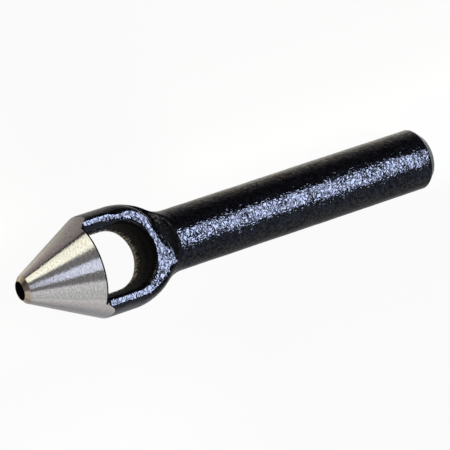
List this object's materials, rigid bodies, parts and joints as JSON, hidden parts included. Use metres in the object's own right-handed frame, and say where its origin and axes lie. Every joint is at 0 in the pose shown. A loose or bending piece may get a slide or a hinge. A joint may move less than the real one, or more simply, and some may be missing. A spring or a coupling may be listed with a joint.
{
  "type": "arch punch",
  "caption": "Hand arch punch: a bright ground cone with a cutting bore, joined by a forged arch to a round black shank that is struck with a hammer to cut round holes in sheet.",
  "frame": {"origin": "centre of the cutting edge, on the axis of the bore", "axes": "+X along the axis from the cutting edge to the head, +Y across the two legs of the arch, +Z out through the window of the arch, so the punch lies flat with the window facing up"},
  "size_m": [0.1207, 0.0264, 0.024],
  "materials": {
    "black_enamel": "glossy black enamel over a pitted forged skin, worn through to bright steel where the cone is ground onto the legs",
    "ground_steel": "bright steel, ground round the cone"
  },
  "bodies": {
    "root": {"forged_body": "black_enamel", "cutting_nose": "ground_steel"}
  },
  "joints": []
}
